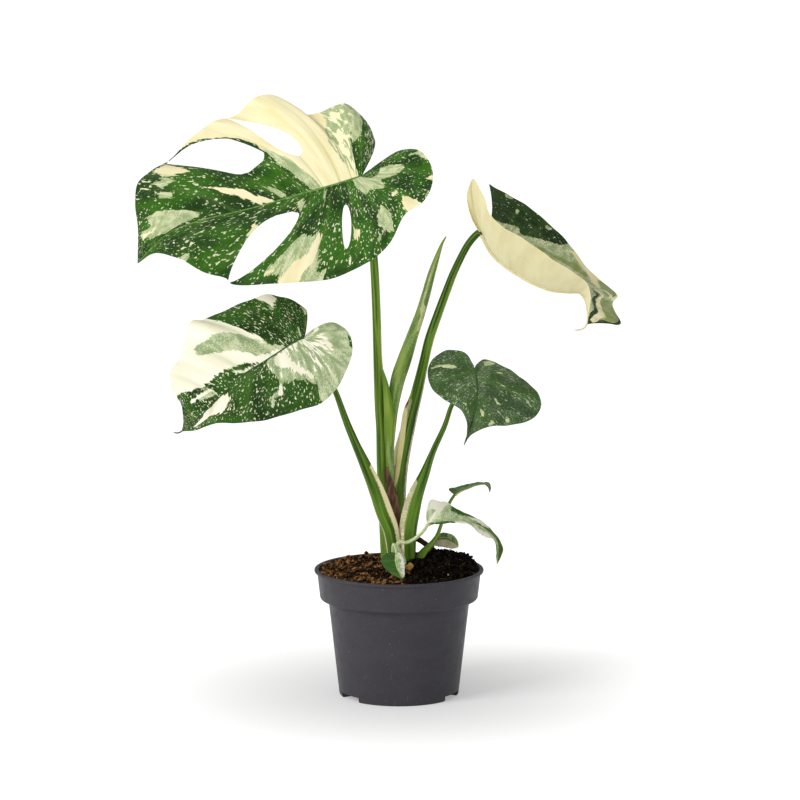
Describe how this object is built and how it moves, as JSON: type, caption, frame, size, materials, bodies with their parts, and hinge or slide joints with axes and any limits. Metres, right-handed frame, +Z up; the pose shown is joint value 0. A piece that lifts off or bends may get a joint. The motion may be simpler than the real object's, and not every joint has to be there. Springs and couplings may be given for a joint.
{
  "type": "potted thai constellation monstera",
  "caption": "Young variegated monstera with large cream-marbled leaves, one furled leaf and small basal shoots, standing in soil in a round dark nursery pot.",
  "frame": {"origin": "middle of the flat underside of the pot, on the surface the pot stands on", "axes": "+Z up, -Y towards the viewer of the picture, +X to the viewer's right"},
  "size_m": [0.4245, 0.1813, 0.5276],
  "materials": {
    "leaf": "satin",
    "pale_leaf": "satin",
    "petiole": "satin",
    "furled_leaf": "satin",
    "stem": "matte",
    "dry_sheath": "matte",
    "aerial_root": "matte",
    "dry_husk": "matte",
    "soil": "matte",
    "pot": "satin"
  },
  "bodies": {
    "root": {"leaf_left": "leaf", "petiole_left": "petiole", "leaf_heart": "leaf", "petiole_heart": "petiole", "leaf_upper": "leaf", "petiole_upper": "petiole", "leaf_right": "pale_leaf", "petiole_right": "petiole", "stem": "stem", "furled_leaf": "furled_leaf", "shoot_leaf_arching": "leaf", "shoot_petiole_arching": "petiole", "shoot_leaf_narrow": "leaf", "shoot_petiole_narrow": "petiole", "shoot_leaf_drooping": "leaf", "shoot_petiole_drooping": "petiole", "shoot_leaf_rear": "leaf", "shoot_petiole_rear": "petiole", "dry_sheath": "dry_sheath", "aerial_root": "aerial_root", "dry_husk": "dry_husk", "soil": "soil", "pot": "pot"}
  },
  "joints": []
}
